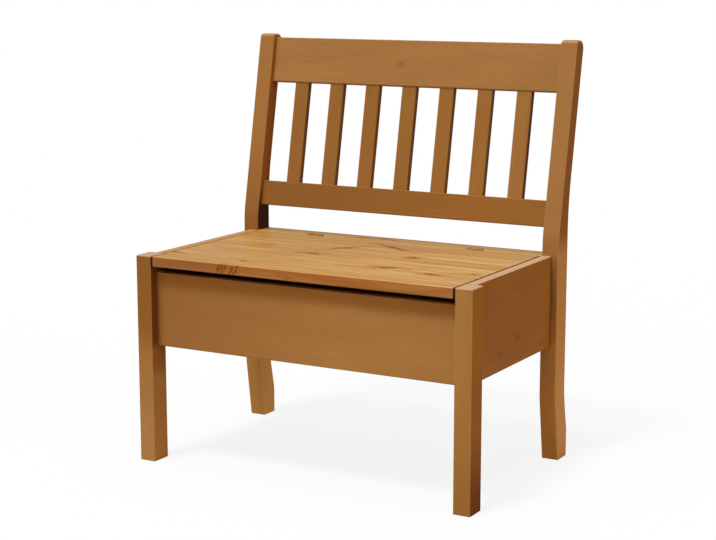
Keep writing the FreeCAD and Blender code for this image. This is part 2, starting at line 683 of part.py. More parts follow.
def slat(number):
    """An upright of the back, with a stub tenon on each end"""
    away = "rail_recess + (rail_thickness - slat_thickness) / 2"
    body = raked_body(f"slat_{number}", f"({number} - (slat_count + 1) / 2) * {SLAT_PITCH}",
                      away, SLAT_FOOT)
    section = new_sketch(body, "XY_Plane")
    draw_box(section, "-slat_width / 2", "0", "slat_width", "slat_thickness")
    pad(body, section, "slat_length")
    ease(body, "arris_radius", lambda edge: runs_along(edge, 2))
    tenon = new_sketch(body, "XY_Plane", lift="-slat_tenon_length")
    draw_box(tenon, "slat_tenon_shoulder - slat_width / 2",
             "(slat_thickness - slat_tenon_thickness) / 2",
             "slat_width - 2 * slat_tenon_shoulder", "slat_tenon_thickness")
    pad(body, tenon, "slat_length + 2 * slat_tenon_length")
    finish(f"slat_{number}", body)


for number in range(1, int(value("slat_count")) + 1):
    slat(number)

doc.recompute()
for item in doc.Objects:
    if "Invalid" in item.State or "Error" in item.State:
        raise RuntimeError(f"{item.Label} did not rebuild: {item.State}")
os.makedirs("parts", exist_ok=True)
for piece in pieces:
    if piece.Shape.isNull() or not piece.Shape.isValid():
        raise RuntimeError(f"{piece.Label} has no valid shape")
    piece.Shape.exportStep(f"parts/{piece.Label}.step")
print(len(pieces), "pieces")
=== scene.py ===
import math

import bmesh
import bpy
import numpy as np
from mathutils import Matrix, Vector


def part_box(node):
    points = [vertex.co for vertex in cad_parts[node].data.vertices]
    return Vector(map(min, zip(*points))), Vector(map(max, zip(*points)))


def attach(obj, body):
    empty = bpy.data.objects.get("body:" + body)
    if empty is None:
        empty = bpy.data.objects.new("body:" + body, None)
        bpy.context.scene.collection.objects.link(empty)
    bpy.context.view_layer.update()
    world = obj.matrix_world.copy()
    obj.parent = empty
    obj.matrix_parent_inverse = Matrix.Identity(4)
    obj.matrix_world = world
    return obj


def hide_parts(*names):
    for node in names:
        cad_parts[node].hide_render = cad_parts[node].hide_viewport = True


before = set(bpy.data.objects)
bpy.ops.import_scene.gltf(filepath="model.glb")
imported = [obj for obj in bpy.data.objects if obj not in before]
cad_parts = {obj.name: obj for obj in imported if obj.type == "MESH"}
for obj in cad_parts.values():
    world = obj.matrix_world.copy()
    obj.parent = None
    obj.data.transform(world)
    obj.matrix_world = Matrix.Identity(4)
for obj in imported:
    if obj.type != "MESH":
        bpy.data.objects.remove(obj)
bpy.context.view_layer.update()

MM = 0.001

# Front legs of stained pine
# Two lengths of planed square pine under a brown stain and satin lacquer. The boards of the box are
# tongued into them, and their sawn tops are painted pale and greyish, which is a painted sheen.


def linear(code):
    """The linear colour of an sRGB hex code: each channel c becomes c / 12.92 below 0.04045, and
    ((c + 0.055) / 1.055) to the power 2.4 above it"""
    channels = [int(code[place:place + 2], 16) / 255 for place in (1, 3, 5)]
    return (*[c / 12.92 if c <= 0.04045 else ((c + 0.055) / 1.055) ** 2.4 for c in channels], 1)


def add(tree, kind, inputs, **settings):
    """Add one node: settings are its own properties, and each input, by name or number, is linked to a
    socket or set to a value"""
    made = tree.nodes.new(kind)
    for name, value in settings.items():
        setattr(made, name, value)
    for socket, value in inputs.items():
        if isinstance(value, bpy.types.NodeSocket):
            tree.links.new(value, made.inputs[socket])
        else:
            made.inputs[socket].default_value = value
    return made


def bare_tree(owner):
    """The node tree of a material or world, emptied"""
    owner.use_nodes = True
    owner.node_tree.nodes.clear()
    return owner.node_tree


# A distance in mm and an angle in degrees
MERGE_WITHIN = 0.002
SHARP_ANGLE = 30


def soft_shading():
    """Merge the corners of a piece's faces, then shade it smooth except at its sharp edges, so that its
    eased arrises and sawn curves look round"""
    tree = bpy.data.node_groups.new("shade_curves_smooth", "GeometryNodeTree")
    tree.interface.new_socket("Geometry", in_out="INPUT", socket_type="NodeSocketGeometry")
    tree.interface.new_socket("Geometry", in_out="OUTPUT", socket_type="NodeSocketGeometry")
    given = add(tree, "NodeGroupInput", {})
    merged = add(tree, "GeometryNodeMergeByDistance",
                 {"Geometry": given.outputs[0], "Distance": MERGE_WITHIN * MM})
    smooth = add(tree, "GeometryNodeSetShadeSmooth", {"Geometry": merged.outputs[0]})
    angle = add(tree, "GeometryNodeInputMeshEdgeAngle", {})
    sharp = add(tree, "FunctionNodeCompare", {0: angle.outputs[0], 1: math.radians(SHARP_ANGLE)},
                operation="GREATER_THAN")
    edges = add(tree, "GeometryNodeSetShadeSmooth",
                {"Geometry": smooth.outputs[0], "Selection": sharp.outputs[0], "Shade Smooth": False},
                domain="EDGE")
    add(tree, "NodeGroupOutput", {0: edges.outputs[0]})
    return tree


shading = soft_shading()
LARGE_FACES_LEAD = 100


def finish(name, material):
    """Give a piece its material and smooth shading, with each flat face kept flat"""
    piece = bpy.data.objects[name]
    piece.data.materials.clear()
    piece.data.materials.append(material)
    piece.modifiers.new("shade_curves_smooth", "NODES").node_group = shading
    flat = piece.modifiers.new("flat_faces", "WEIGHTED_NORMAL")
    flat.keep_sharp = True
    flat.weight = LARGE_FACES_LEAD


# How each board lies: the turn that takes its grain, along X in the board's own frame, to its direction
RAKE = math.radians(11)
ALONG_X = Matrix.Identity(3)
ALONG_Y = Matrix.Rotation(math.pi / 2, 3, "Z")
ALONG_Z = Matrix.Rotation(-math.pi / 2, 3, "Y")
ACROSS_THE_BACK = Matrix.Rotation(-RAKE, 3, "X")
UP_THE_BACK = ACROSS_THE_BACK @ ALONG_Z

SEED = 17
chance = np.random.default_rng(SEED)

# Where a board lay in the log, in mm: boards were cut up to so far either way from one place, with the
# pith up to so far aside, and staves up to so far from each other along, across and through
BOARDS_APART = 400
PITH_ASIDE = 25
STAVES_APART = (900, 0, 60)
STAVE_CONTRAST = 0.4
# Waves in mm along, across and through a board: those of the wandering pith, of the ripple round a knot,
# and of the dark flecks that fray its outline, by up to so many half sizes of the knot
PITH_WAVES = (260, 45, 45)
KNOT_RIPPLES = (22, 9, 14)
KNOT_FLECKS = (13, 3, 5)
FLECK_REACH = 3
FIBRE_LENGTH_IN_WIDTHS = 30
# The middle of a noise's colours, and the ring width of the wave texture at scale 1
NOISE_MIDDLE = (0.5, 0.5, 0.5)
RING_AT_SCALE_1 = 2 * math.pi / 20
# How squarely a face looks one way where a tone for that way starts, and where it is full
SQUARE_ON = {"start": 0.55, "end": 0.85}
# Fibres stand out of the coat by so many mm, and between them it is a little glossier than over them.
# Lacquer has an IOR of about 1.5, but this thin, worn coat mirrors less.
FIBRE_RELIEF = 0.12
GLOSSIER, DULLER = 0.05, 0.07
COAT_IOR = 1.2


def pine(name, node, grain, look, stave=None, knots=(), edge=None):
    """Pine cut from a log: growth rings are circles about a pith that runs beside the board and wanders
    slowly, so faces show long bands and ends show arcs. Fine fibres, a soft blotch of the finish, glued
    staves, a band of painted shade, a tone on the side that faces the way named, ends of another tone,
    knots, and arrises lightened partly for wear and partly as a painted highlight are laid over them. On
    some boards the side and end tones are painted light and shade. A knot is its middle and its half
    length, width and depth in mm in the board's own frame, and the two angles at which it slants and turns
    there."""
    material = bpy.data.materials.new(name)
    tree = bare_tree(material)

    # The board's own frame, and where in the log each of its places was
    low, high = (Vector(corner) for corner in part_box(node))
    place = add(tree, "ShaderNodeTexCoord", {}).outputs
    board = add(tree, "ShaderNodeMapping",
                {"Vector": place["Object"], "Location": (low + high) / 2, "Rotation": grain.to_euler(),
                 "Scale": (MM, MM, MM)}, vector_type="TEXTURE").outputs[0]
    spot = add(tree, "ShaderNodeSeparateXYZ", {0: board}).outputs
    cut_from = chance.uniform(-BOARDS_APART, BOARDS_APART, 3)
    wood = add(tree, "ShaderNodeVectorMath", {0: board, 1: cut_from}).outputs[0]
    if stave:
        count = add(tree, "ShaderNodeMath", {0: spot["Y"], 1: stave}, operation="DIVIDE").outputs[0]
        count = add(tree, "ShaderNodeMath", {0: count}, operation="FLOOR").outputs[0]
        pick = add(tree, "ShaderNodeTexWhiteNoise", {"W": count}, noise_dimensions="1D").outputs
        shift = add(tree, "ShaderNodeVectorMath", {0: pick["Color"], 1: STAVES_APART},
                    operation="MULTIPLY").outputs[0]
        wood = add(tree, "ShaderNodeVectorMath", {0: wood, 1: shift}).outputs[0]
    slow = add(tree, "ShaderNodeVectorMath", {0: wood, 1: PITH_WAVES}, operation="DIVIDE").outputs[0]
    drift = add(tree, "ShaderNodeTexNoise", {"Vector": slow, "Scale": 1, "Detail": 2}).outputs["Color"]
    drift = add(tree, "ShaderNodeVectorMath", {0: drift, 1: (0, look["wander"], look["wander"])},
                operation="MULTIPLY").outputs[0]
    log = add(tree, "ShaderNodeVectorMath", {0: board, 1: drift}).outputs[0]
    if stave:
        log = add(tree, "ShaderNodeVectorMath", {0: log, 1: shift}).outputs[0]
    pith = (0, chance.uniform(-PITH_ASIDE, PITH_ASIDE), look["pith_depth"])
    log = add(tree, "ShaderNodeMapping",
              {"Vector": log, "Location": pith, "Rotation": (0, look["slope"], look["slope"] / 2)},
              vector_type="POINT").outputs[0]

    # The patterns: growth rings, fibres and blotches
    ring_inputs = {"Vector": log, "Scale": RING_AT_SCALE_1 / look["ring_width"], "Distortion": 0}
    if knots:
        ripple = add(tree, "ShaderNodeVectorMath", {0: board, 1: KNOT_RIPPLES}, operation="DIVIDE")
        ripple = add(tree, "ShaderNodeTexNoise", {"Vector": ripple.outputs[0], "Scale": 1, "Detail": 1})
        ripple = add(tree, "ShaderNodeVectorMath", {0: ripple.outputs["Color"], 1: NOISE_MIDDLE},
                     operation="SUBTRACT")
        bent = add(tree, "ShaderNodeVectorMath", {0: ripple.outputs[0], 1: look["knot_ripple"], 2: board},
                   operation="MULTIPLY_ADD").outputs[0]
        nearest = None
        for x, y, z, length, width, depth, slant, turn in knots:
            knot = add(tree, "ShaderNodeMapping",
                       {"Vector": bent, "Location": (x, y, z), "Rotation": (0, slant, turn),
                        "Scale": (length, width, depth)}, vector_type="TEXTURE").outputs[0]
            away = add(tree, "ShaderNodeVectorMath", {0: knot}, operation="LENGTH").outputs["Value"]
            nearest = away if nearest is None else add(
                tree, "ShaderNodeMath", {0: nearest, 1: away}, operation="MINIMUM").outputs[0]
        # The rings swirl round a knot: by nine radians at its heart, and not at all four half sizes away
        swirl = add(tree, "ShaderNodeMapRange",
                    {"Value": nearest, "From Min": 0.3, "From Max": 4, "To Min": 9, "To Max": 0},
                    interpolation_type="SMOOTHSTEP")
        ring_inputs["Phase Offset"] = swirl.outputs[0]
        flecks = add(tree, "ShaderNodeVectorMath", {0: board, 1: KNOT_FLECKS}, operation="DIVIDE")
        flecks = add(tree, "ShaderNodeTexNoise", {"Vector": flecks.outputs[0], "Scale": 1, "Detail": 2})
        frayed = add(tree, "ShaderNodeMath", {0: flecks.outputs["Fac"], 1: FLECK_REACH, 2: nearest},
                     operation="MULTIPLY_ADD").outputs[0]
    rings = add(tree, "ShaderNodeTexWave", ring_inputs, wave_type="RINGS", rings_direction="X",
                wave_profile="SAW")
    # Late wood darkens slowly over the outer three quarters of a ring, and ends at once
    late = add(tree, "ShaderNodeMapRange", {"Value": rings.outputs["Fac"], "From Min": 0.25, "From Max": 1},
               interpolation_type="SMOOTHSTEP").outputs[0]
    width = look["fibre_width"]
    fine = add(tree, "ShaderNodeVectorMath", {0: wood, 1: (FIBRE_LENGTH_IN_WIDTHS * width, width, width)},
               operation="DIVIDE").outputs[0]
    fibre = add(tree, "ShaderNodeTexNoise", {"Vector": fine, "Scale": 1, "Detail": 4,
                                             "Roughness": 0.65}).outputs["Fac"]
    length, width = look["streak"]
    broad = add(tree, "ShaderNodeVectorMath", {0: wood, 1: (length, width, width)},
                operation="DIVIDE").outputs[0]
    blotch = add(tree, "ShaderNodeTexNoise", {"Vector": broad, "Scale": 1, "Detail": 3}).outputs["Fac"]
    if stave:
        blotch = add(tree, "ShaderNodeMath", {0: pick["Value"], 1: STAVE_CONTRAST, 2: blotch},
                     operation="MULTIPLY_ADD").outputs[0]
        blotch = add(tree, "ShaderNodeMath", {0: blotch, 1: STAVE_CONTRAST / 2},
                     operation="SUBTRACT").outputs[0]

    def tone(name):
        """A colour of the look: a hex code, or a first one and then others that take over along the
        board, each between two places from its middle"""
        first, *later = [look[name]] if isinstance(look[name], str) else look[name]
        colour = linear(first)
        for start, end, code in later:
            part = add(tree, "ShaderNodeMapRange", {"Value": spot["X"], "From Min": start, "From Max": end})
            colour = add(tree, "ShaderNodeMixRGB", {"Fac": part.outputs[0], "Color1": colour,
                                                    "Color2": linear(code)}).outputs[0]
        return colour

    def lay(under, name, value, start, end, share):
        """A colour covered with one of the look: not at all where the value is at the start, and by the
        share where it is at the end"""
        part = add(tree, "ShaderNodeMapRange", {"Value": value, "From Min": start, "From Max": end,
                                                "To Max": share})
        return add(tree, "ShaderNodeMixRGB", {"Fac": part.outputs[0], "Color1": under,
                                              "Color2": tone(name)}).outputs[0]

    colour = lay(tone("early"), "late", late, start=0, end=1, share=look["ring_share"])
    colour = lay(colour, "fibre", fibre, start=0.48, end=0.72, share=look["fibre_share"])
    colour = lay(colour, "blotch", blotch, start=0.3, end=0.75, share=look["blotch_share"])
    # A redder band between two heights on the board: painted shade under the lid's edge
    if "lid_shade" in look:
        start, end = look["lid_shade_between"]
        colour = lay(colour, "lid_shade", spot["Z"], start, end, look["lid_shade_share"])
    # The side that faces the way named takes the edge tone: painted light and shade on the cheeks of the
    # legs, posts and slats and on the tops of the sides
    if edge:
        faced = add(tree, "ShaderNodeVectorMath", {0: place["Normal"], 1: edge}, operation="DOT_PRODUCT")
        colour = lay(colour, "edge", faced.outputs["Value"], **SQUARE_ON, share=look["edge_share"])
    turned = add(tree, "ShaderNodeMapping", {"Vector": place["Normal"], "Rotation": grain.to_euler()},
                 vector_type="TEXTURE")
    turned = add(tree, "ShaderNodeVectorMath", {0: turned.outputs[0]}, operation="ABSOLUTE")
    facing = add(tree, "ShaderNodeSeparateXYZ", {0: turned.outputs[0]}).outputs
    # Ends take the end tone, which on the legs' tops is a painted sheen and on the rests painted shade
    colour = lay(colour, "end", facing["X"], **SQUARE_ON, share=look["end_share"])
    if knots:
        colour = lay(colour, "knot_halo", frayed, start=4.1, end=2.6, share=0.5)
        colour = lay(colour, "knot", frayed, start=2.7, end=1.9, share=0.9)
    # Arrises are lighter, partly for wear and partly as a painted highlight
    square = add(tree, "ShaderNodeMath", {0: facing["X"], 1: facing["Y"]}, operation="MAXIMUM")
    square = add(tree, "ShaderNodeMath", {0: square.outputs[0], 1: facing["Z"]}, operation="MAXIMUM")
    colour = lay(colour, "wear_and_highlight", square.outputs[0], start=0.96, end=0.78, share=look["wear_and_highlight_share"])

    # The satin coat
    dull = add(tree, "ShaderNodeMapRange",
               {"Value": fibre, "From Min": 0.3, "From Max": 0.7, "To Min": look["roughness"] - GLOSSIER,
                "To Max": look["roughness"] + DULLER}).outputs[0]
    bump = add(tree, "ShaderNodeBump",
               {"Height": fibre, "Strength": look["relief"], "Distance": FIBRE_RELIEF * MM}).outputs[0]
    shader = add(tree, "ShaderNodeBsdfPrincipled",
                 {"Base Color": colour, "Roughness": dull, "IOR": COAT_IOR, "Normal": bump,
                  "Specular IOR Level": look["gloss"]})
    add(tree, "ShaderNodeOutputMaterial", {"Surface": shader.outputs[0]})
    return material


# A brown stain fills the pores and evens the rings out, so the figure is faint under the satin lacquer.
# Widths, depths and waves are in mm, and each share is how much of a layer shows.
stained = {
    "early": "#B67E42", "late": "#8C5F2E", "fibre": "#88562A", "blotch": "#9E6B35", "end": "#CCA985",
    "wear_and_highlight": "#C69A62", "ring_width": 6.5, "wander": 22, "pith_depth": 55, "slope": 0.03,
    "streak": (210, 38), "fibre_width": 2.4, "ring_share": 0.12, "fibre_share": 0.16, "blotch_share": 0.5,
    "end_share": 0.15, "wear_and_highlight_share": 0.35, "roughness": 0.34, "gloss": 0.5, "relief": 0.15,
    "knot_ripple": (8, 6, 4),
}
TO_THE_RIGHT = (1, 0, 0)
# The tones on the cheeks that face right are painted light and shade: the left leg's cheek is light low
# down and darkest beside the front panel, where shade falls. Along the legs the left one darkens towards
# its top and the right one towards its foot, and the right leg's lacquer mirrors less. The places are in mm
# from the middle of a leg's length.
left_leg = dict(stained, end_share=0.85, edge_share=0.8,
                early=["#B27E46", (-110, -20, "#B27B3E"), (0, 70, "#985F27")],
                edge=["#CE853A", (-45, -15, "#B2631F"), (22, 34, "#7E3C0C")])
right_leg = dict(stained, end_share=0.85, edge_share=0.9, gloss=0.12,
                 early=["#9C682F", (-190, -80, "#AC753B"), (-60, 10, "#B27C41"), (40, 110, "#B78345")],
                 edge=["#7E3C08", (-190, -60, "#B0661A"), (20, 90, "#BC701F")])
for side, look in (("left", left_leg), ("right", right_leg)):
    node = f"front_leg_{side}"
    finish(node, pine(f"stained_pine_{node}", node, ALONG_Z, look, edge=TO_THE_RIGHT))

# Back posts of stained pine
# Sawn from wide planed stock to a splayed foot and a raked top, with rounded crowns. The rails of the
# back and the boards of the box are tenoned into them.

# The tones along the posts and on their cheeks that face right are painted light and shade: lighter at the
# feet, which lie in the seat's shadow, darker beside the seat, and nearly black on the left post's cheek
# between the lid and the lower rail, where shade falls. The places are in mm from the middle of a post's
# length.
left_post = dict(stained, edge_share=0.95,
                 early=["#BE8442", (-200, -100, "#925D27"), (60, 240, "#A66F34")],
                 edge=["#FFB25A", (-320, -240, "#F6A650"), (-60, -20, "#3C1602"), (50, 110, "#AC5E18")])
right_post = dict(stained, edge_share=0.95,
                  early=["#D5883E", (-200, -100, "#A36F3A"), (90, 180, "#AA763E")],
                  edge=["#E49749", (0, 50, "#B0661C")])
for side, look in (("left", left_post), ("right", right_post)):
    node = f"back_post_{side}"
    finish(node, pine(f"stained_pine_{node}", node, ALONG_Z, look, edge=TO_THE_RIGHT))

# Boards of the box
# Wide boards glued up from pine, tongued into the legs and posts, with the same stain and lacquer. The
# front one stops short of the lid and leaves a gap for the fingers.

# A redder band along the upper part of the front is painted shade under the lid's edge, and the front
# is darker towards its left end, which is painted shade too
front = dict(stained, early=["#A56C34", (-300, 100, "#B67E42")], lid_shade="#A05A14", lid_shade_share=0.6,
             lid_shade_between=(44, 66))
finish("front_panel", pine("stained_pine_front_panel", "front_panel", ALONG_X, front))
finish("back_panel", pine("stained_pine_back_panel", "back_panel", ALONG_X, stained))
# The sides are painted redder, as warm shade, with a dark line along the joint with the post that is
# painted shade in the corner, and their top edges beside the lid are painted pale, which is a painted sheen
UPWARDS = (0, 0, 1)
side_with_warm_shade = dict(stained, early=["#BF7228", (80, 150, "#C3782C"), (182, 184.5, "#3A1A08")],
                 late="#864A14", fibre="#824612", blotch="#9F5A1A", ring_share=0.05,
                 knot="#985816", knot_halo="#A2621E", edge="#CFAC88", edge_share=0.85)
finish("side_panel_left", pine("stained_pine_side_panel_left", "side_panel_left", ALONG_Y,
                               dict(side_with_warm_shade, edge="#C0935C"), edge=UPWARDS))
faint_knots = [(17, 0, -44, 8, 60, 6, 0, 0), (-70, 0, -64, 6, 60, 5, 0, 0)]
finish("side_panel_right", pine("stained_pine_side_panel_right", "side_panel_right", ALONG_Y, side_with_warm_shade,
                                knots=faint_knots, edge=UPWARDS))

# Crest rail
# A wide board at the top of the back, tenoned between the posts, with one small knot left in.

crest = dict(stained, early="#AE793F", blotch="#946430", knot="#8E5A2A", knot_halo="#9A662F",
             ring_share=0.22, fibre_share=0.28)
crest_knot = (-25, 0, -3, 9, 30, 6, 0, 0)
finish("crest_rail", pine("stained_pine_crest_rail", "crest_rail", ACROSS_THE_BACK, crest,
                          knots=[crest_knot]))

# Lower rail and slats
# A narrow rail tenoned between the posts, and seven flat slats tenoned between the two rails. They are
# coloured a little darker than the crest rail, and the slats' edges that face right darker still, which
# is painted shade.

deep = dict(stained, late="#744812", fibre="#714410", blotch="#8A581C", wear_and_highlight="#B48446")
low_rail = dict(deep, early=["#8E5A22", (-150, 150, "#9A6428")], ring_share=0.3, wander=34, slope=0.05)
finish("lower_rail", pine("stained_pine_lower_rail", "lower_rail", ACROSS_THE_BACK, low_rail))
# From left to right the slats get a little lighter
slat_tones = ("#9A642A", "#9A652A", "#9B662A", "#9C672B", "#9E692C", "#A26D31", "#A77236")
for count, tone in enumerate(slat_tones, 1):
    look = dict(deep, early=tone, edge="#8A521E", edge_share=0.8)
    finish(f"slat_{count}", pine(f"stained_pine_slat_{count}", f"slat_{count}", UP_THE_BACK, look,
                                 edge=TO_THE_RIGHT))

# Lid and hinge rail of natural pine
# The seat is a panel of glued pine staves under clear lacquer, with small knots and resin streaks left
# in. It lies between the sides on two rests, and the fixed rail behind it carries the hinges.

# The fibres are drawn three times as coarse as they are, or they wouldn't show from across a room
natural = {
    "early": ["#CDA065", (-250, 150, "#D9AC70")], "late": "#A87632", "fibre": "#9A6628",
    "blotch": "#B4823E", "knot": "#6E3C08", "knot_halo": "#9A5E16", "end": "#3C2610", "wear_and_highlight": "#DDB57C",
    "edge": ["#8F4102", (-250, -130, "#A45204")], "ring_width": 13, "wander": 40, "pith_depth": 42,
    "slope": 0.02, "streak": (420, 14), "fibre_width": 7, "ring_share": 0.55, "fibre_share": 0.8,
    "blotch_share": 0.95, "end_share": 0.8, "edge_share": 0.67, "wear_and_highlight_share": 0.3, "roughness": 0.36,
    "gloss": 0.5, "relief": 0.2, "knot_ripple": (16, 12, 8),
}
STAVE_WIDTH = 62
TO_THE_FRONT = (0, -1, 0)
lid_low, lid_high = (np.array(corner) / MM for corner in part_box("lid_board"))
_, lid_depth, lid_thickness = lid_high - lid_low
# Knots that show on the lid: across the seat from its middle, and back from its front edge, with half
# their length and width, and the angle in degrees at which they lie to the grain
lid_knots = [
    (-57, 297, 36, 5, 50), (-84, 205, 34, 6, 4), (140, 130, 30, 7, 8), (38, 354, 44, 5, -28),
    (135, 258, 12, 8, 0), (256, 104, 15, 6, 0), (331, 149, 16, 4, 0), (-345, 72, 12, 5, 0),
    (-156, 50, 6, 5, 0), (-221, 258, 14, 3, 0),
]
knots = [(x, back - lid_depth / 2, 0, length, width, 2 * lid_thickness, 0, math.radians(turn))
         for x, back, length, width, turn in lid_knots]
# Two small knots come out through the front edge, as slanting dark strokes: across the seat from its
# middle, and half the width
strokes = [(-185, 2), (-178, 1.7), (-171, 1.4), (-155, 2.6), (-145, 1.3)]
STROKE_DEPTH, STROKE_LENGTH, STROKE_SLANT = 7, 17, 0.56
knots += [(x, -lid_depth / 2, 0, width, STROKE_DEPTH, STROKE_LENGTH, STROKE_SLANT, 0)
          for x, width in strokes]
finish("lid_board", pine("natural_pine_lid", "lid_board", ALONG_X, natural, stave=STAVE_WIDTH,
                         knots=knots, edge=TO_THE_FRONT))
resin_streaks = [(-91, -10, 0, 25, 3, 30, 0, 0), (-25, -4, 0, 36, 3, 30, 0, -0.1)]
finish("hinge_rail", pine("natural_pine_hinge_rail", "hinge_rail", ALONG_X, natural,
                          knots=resin_streaks))

# Rests under the lid
# Two square strips screwed to the sides of the box, which carry the lid's ends. They show through the
# finger gap and are coloured dark, with nearly black ends: painted shade inside the gap.

rest_in_gap_shade = dict(deep, early="#84521F", end="#2E1808", end_share=0.95)
for node in ("lid_rest_left", "lid_rest_right"):
    finish(node, pine(f"stained_pine_{node}", node, ALONG_Y, rest_in_gap_shade))

# Cleats under the floor of the box and battens under the lid
# Raw pine strips, lightly planed: four cleats that carry the floor, and two battens screwed across the
# underside of the lid to keep it flat.

raw = {
    "early": "#DCBB86", "late": "#B98A52", "fibre": "#B08048", "blotch": "#CDA66E", "end": "#B98A52",
    "wear_and_highlight": "#E4CB9C", "ring_width": 4.5, "wander": 12, "pith_depth": 30, "slope": 0.04,
    "streak": (210, 38), "fibre_width": 2.4, "ring_share": 0.55, "fibre_share": 0.45,
    "blotch_share": 0.35, "end_share": 0.35, "wear_and_highlight_share": 0.2, "roughness": 0.68, "gloss": 0.5,
    "relief": 0.6,
}
strips = {
    "bottom_cleat_left": ALONG_Y, "bottom_cleat_right": ALONG_Y, "bottom_cleat_front": ALONG_X,
    "bottom_cleat_back": ALONG_X, "lid_batten_left": ALONG_Y, "lid_batten_right": ALONG_Y,
}
for node, grain in strips.items():
    finish(node, pine(f"raw_pine_{node}", node, grain, raw))

# Floor of the box
# Thin plywood that lies loose on the cleats, with a rotary-cut pine face: broad, wandering figure.

ply = dict(raw, ring_width=16, wander=60, pith_depth=9, slope=0.012, early="#DDBF90", late="#BE935E",
           relief=0.35, roughness=0.6)
finish("bottom_board", pine("plywood_pine_face", "bottom_board", ALONG_X, ply))

# Butt hinges
# Two butt hinges of pressed steel, zinc plated, housed in the joint between the lid and the rail. Each
# leaf is a plate with rolled knuckles, and the two leaves share one pin with domed ends.

CLOUD_SIZE = 3


def zinc(name):
    """Zinc plating on pressed steel, passivated yellow: cloudy, and browned by years of handling"""
    material = bpy.data.materials.new(name)
    tree = bare_tree(material)
    place = add(tree, "ShaderNodeTexCoord", {})
    cloud = add(tree, "ShaderNodeTexNoise", {"Vector": place.outputs["Object"],
                                             "Scale": 1 / (CLOUD_SIZE * MM), "Detail": 3}).outputs["Fac"]
    colour = add(tree, "ShaderNodeMixRGB", {"Fac": cloud, "Color1": linear("#B48A62"),
                                            "Color2": linear("#6E4A2C")}).outputs[0]
    dull = add(tree, "ShaderNodeMapRange", {"Value": cloud, "To Min": 0.3, "To Max": 0.55}).outputs[0]
    shader = add(tree, "ShaderNodeBsdfPrincipled", {"Base Color": colour, "Metallic": 1, "Roughness": dull})
    add(tree, "ShaderNodeOutputMaterial", {"Surface": shader.outputs[0]})
    return material


plated = zinc("zinc_plated_steel")


def steel_piece(name, surfaces, body, node):
    """One piece that stands for a node, made of closed surfaces in mm. Each is a grid of rings: every ring
    closes on itself, and the rings either close a loop or end in a flat face each."""
    points = []
    faces = []
    first = 0
    for grid, loop in surfaces:
        rings, turns = grid.shape[:2]
        index = first + np.arange(rings * turns).reshape(rings, turns)
        here, after = (index, np.roll(index, -1, axis=0)) if loop else (index[:-1], index[1:])
        quads = np.stack([here, np.roll(here, -1, axis=1), np.roll(after, -1, axis=1), after], axis=-1)
        faces += quads.reshape(-1, 4).tolist()
        if not loop:
            faces += [index[0, ::-1].tolist(), index[-1].tolist()]
        points.append(grid.reshape(-1, 3) * MM)
        first += rings * turns
    mesh = bpy.data.meshes.new(name)
    mesh.from_pydata(np.concatenate(points).tolist(), [], faces)
    shape = bmesh.new()
    shape.from_mesh(mesh)
    bmesh.ops.recalc_face_normals(shape, faces=shape.faces)
    shape.to_mesh(mesh)
    shape.free()
    piece = bpy.data.objects.new(name, mesh)
    bpy.context.scene.collection.objects.link(piece)
    finish(name, plated)
    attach(piece, body)
    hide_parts(node)


def full_turn(count, start=0.0):
    """Angles all round in equal steps, from the start in steps"""
    return (np.arange(count) + start) / count * 2 * np.pi


def pushed(reach, ease, wave):
    """The wave times the ease radius, pushed out from the middle until it ends at the reach"""
    return (reach - ease) * np.sign(wave) + ease * wave


def eased_block(low, high, ease):
    """A block with eased edges: the points of a small ball of the ease radius, each pushed out towards
    the corner of the block that it faces. The rings stop short of the poles, where they would shrink to a
    point."""
    short_of_the_poles = np.radians(np.linspace(-89, 89, 8))
    tilt, turn = np.meshgrid(short_of_the_poles, full_turn(16, 0.5), indexing="ij")
    middle = (np.array(low) + high) / 2
    reach = (np.array(high) - low) / 2
    waves = (np.sin(tilt), np.cos(tilt) * np.cos(turn), np.cos(tilt) * np.sin(turn))
    return np.stack([middle[axis] + pushed(reach[axis], ease, waves[axis]) for axis in range(3)], axis=-1)


def knuckle(start, length, axis, inner, outer, ease):
    """A short tube along X about the pin: one angle goes round the pin, the other round the section of
    the wall, which is a rectangle with eased corners"""
    turn, roll = np.meshgrid(full_turn(48), full_turn(12, 0.5), indexing="ij")
    along = start + length / 2 + pushed(length / 2, ease, np.cos(roll))
    radius = (inner + outer) / 2 + pushed((outer - inner) / 2, ease, np.sin(roll))
    return np.stack([along, axis[0] + radius * np.cos(turn), axis[1] + radius * np.sin(turn)], axis=-1)


def pin_rod(middle, length, axis, radius, dome):
    """A rod along X with domed ends: its radius is the full one times the cosine of the angle that runs
    from end to end. The rings stop short of the tips, where they would shrink to a point."""
    short_of_the_tips = np.radians(np.linspace(-85, 85, 14))
    tilt, turn = np.meshgrid(short_of_the_tips, full_turn(32), indexing="ij")
    along = middle + pushed(length / 2, dome, np.sin(tilt))
    return np.stack([along, axis[0] + radius * np.cos(tilt) * np.cos(turn),
                     axis[1] + radius * np.cos(tilt) * np.sin(turn)], axis=-1)


